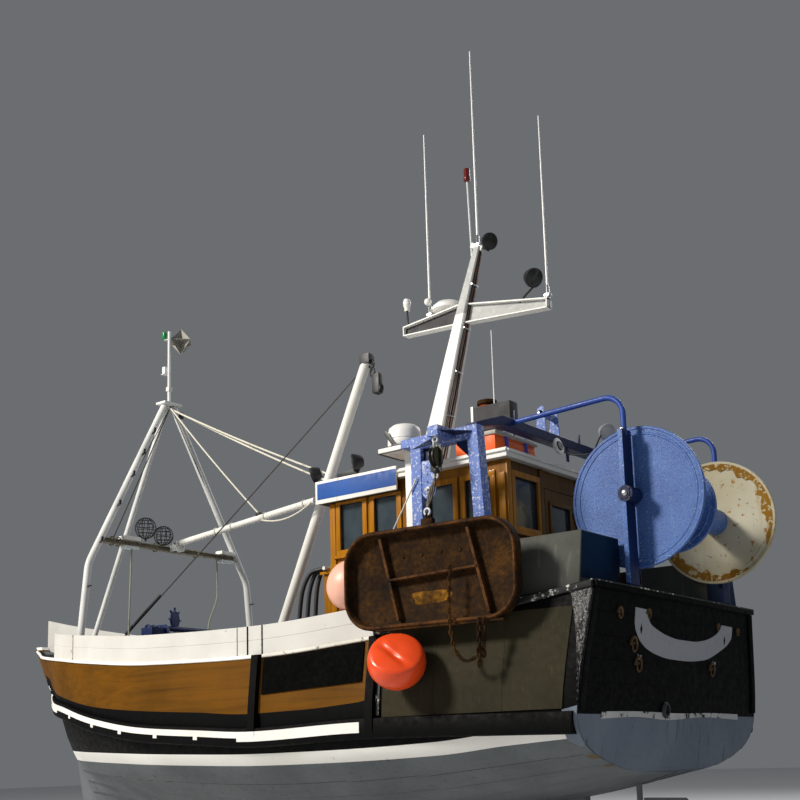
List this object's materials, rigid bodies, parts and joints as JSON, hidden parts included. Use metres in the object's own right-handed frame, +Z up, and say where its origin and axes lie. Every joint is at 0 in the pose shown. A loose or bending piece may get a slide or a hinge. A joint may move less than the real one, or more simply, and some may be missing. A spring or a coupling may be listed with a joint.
{
  "type": "fishing trawler",
  "caption": "Inshore wooden fishing trawler with a wheelhouse, gallows with trawl doors, a stern net drum, a bow portal with a cargo boom, a deck winch, a rudder and a propeller.",
  "frame": {"origin": "on the centreline at the transom, at the height of the load waterline", "axes": "+X forward to the bow, +Y to port, +Z up"},
  "size_m": [10.58, 4.5679, 9.22],
  "materials": {
    "varnished_wood": "varnished planking, black below the wale and grey below the waterline",
    "grey_antifouling": "worn matte underwater paint",
    "black_paint": "tarred, semi-gloss",
    "white_paint": "gloss paint with dirt and rust runs",
    "worn_steel": "scuffed dark grey steel plate",
    "bronze": "dull bronze",
    "grained_wood": "glossy yellow-brown graining",
    "bright_blue_paint": "gloss blue",
    "white_plastic": "smooth moulded white",
    "blue_paint": "chipped blue over rust",
    "dark_blue_paint": "chipped dark blue",
    "cream_paint": "cream paint with rust stains",
    "galvanised_steel": "dull white-grey galvanised tube",
    "rusty_steel": "rough dark rust",
    "orange_plastic": "soft inflated vinyl",
    "pink_plastic": "sun-faded inflated vinyl"
  },
  "bodies": {
    "boat": {"hull": "varnished_wood", "bulwark_port": "varnished_wood", "bulwark_starboard": "varnished_wood", "keel": "grey_antifouling", "stem": "varnished_wood", "wale_port": "black_paint", "wale_starboard": "black_paint", "bulwark_boards_port": "white_paint", "bulwark_boards_starboard": "white_paint", "aft_rail": "black_paint", "wear_plate_port": "worn_steel", "wear_plate_starboard": "worn_steel", "quarter_casing_port": "worn_steel", "quarter_casing_starboard": "worn_steel", "wheelhouse_front": "grained_wood", "wheelhouse_side_port": "grained_wood", "wheelhouse_side_starboard": "grained_wood", "wheelhouse_back": "grained_wood", "wheelhouse_roof": "white_paint", "roof_visor": "bright_blue_paint", "mast": "white_paint", "aerial_fore": "white_plastic", "aerial_masthead": "white_plastic", "aerial_aft": "white_plastic", "radome_post": "white_paint", "radome": "white_plastic", "gallows_port": "blue_paint", "gallows_starboard": "blue_paint", "gantry_beam": "dark_blue_paint", "drum_stand_port": "dark_blue_paint", "drum_stand_starboard": "dark_blue_paint", "portal_frame": "galvanised_steel", "portal_strut": "galvanised_steel", "portal_pole": "galvanised_steel", "radar_reflector": "galvanised_steel", "raked_mast": "white_paint", "winch_frame": "dark_blue_paint", "trawl_door_port": "rusty_steel", "trawl_door_starboard": "rusty_steel", "door_chain_port": "rusty_steel", "door_chain_starboard": "rusty_steel", "fender_orange": "orange_plastic", "fender_pink": "pink_plastic"},
    "drum": {"net_drum": "blue_paint", "net_drum_flange": "cream_paint"},
    "winch": {"winch_drums": "dark_blue_paint"},
    "screw": {"propeller": "bronze"},
    "rudder": {"rudder": "grey_antifouling"},
    "door": {"wheelhouse_door": "grained_wood"},
    "boom": {"cargo_boom": "white_paint"}
  },
  "joints": [
    {"name": "net_drum_spin", "type": "hinge", "parent": "boat", "child": "drum", "pos_m": [-0.085, 0, 2.125], "axis": [0, 1, 0], "continuous": true},
    {"name": "winch_drum_spin", "type": "hinge", "parent": "boat", "child": "winch", "pos_m": [6.5, 0, 1.12], "axis": [0, 1, 0], "continuous": true},
    {"name": "propeller_spin", "type": "hinge", "parent": "boat", "child": "screw", "pos_m": [0.865, 0, -0.95], "axis": [1, 0, 0], "continuous": true},
    {"name": "rudder_turn", "type": "hinge", "parent": "boat", "child": "rudder", "pos_m": [0.5, 0, -0.9], "axis": [0, 0, 1], "range_deg": [-35, 35]},
    {"name": "wheelhouse_door_swing", "type": "hinge", "parent": "boat", "child": "door", "pos_m": [1.192, -0.3, 1.45], "axis": [0, 0, 1], "range_deg": [0, 100]},
    {"name": "boom_luff", "type": "hinge", "parent": "boat", "child": "boom", "pos_m": [6.89, 0, 2.7], "axis": [0, 1, 0], "range_deg": [0, 40]}
  ]
}
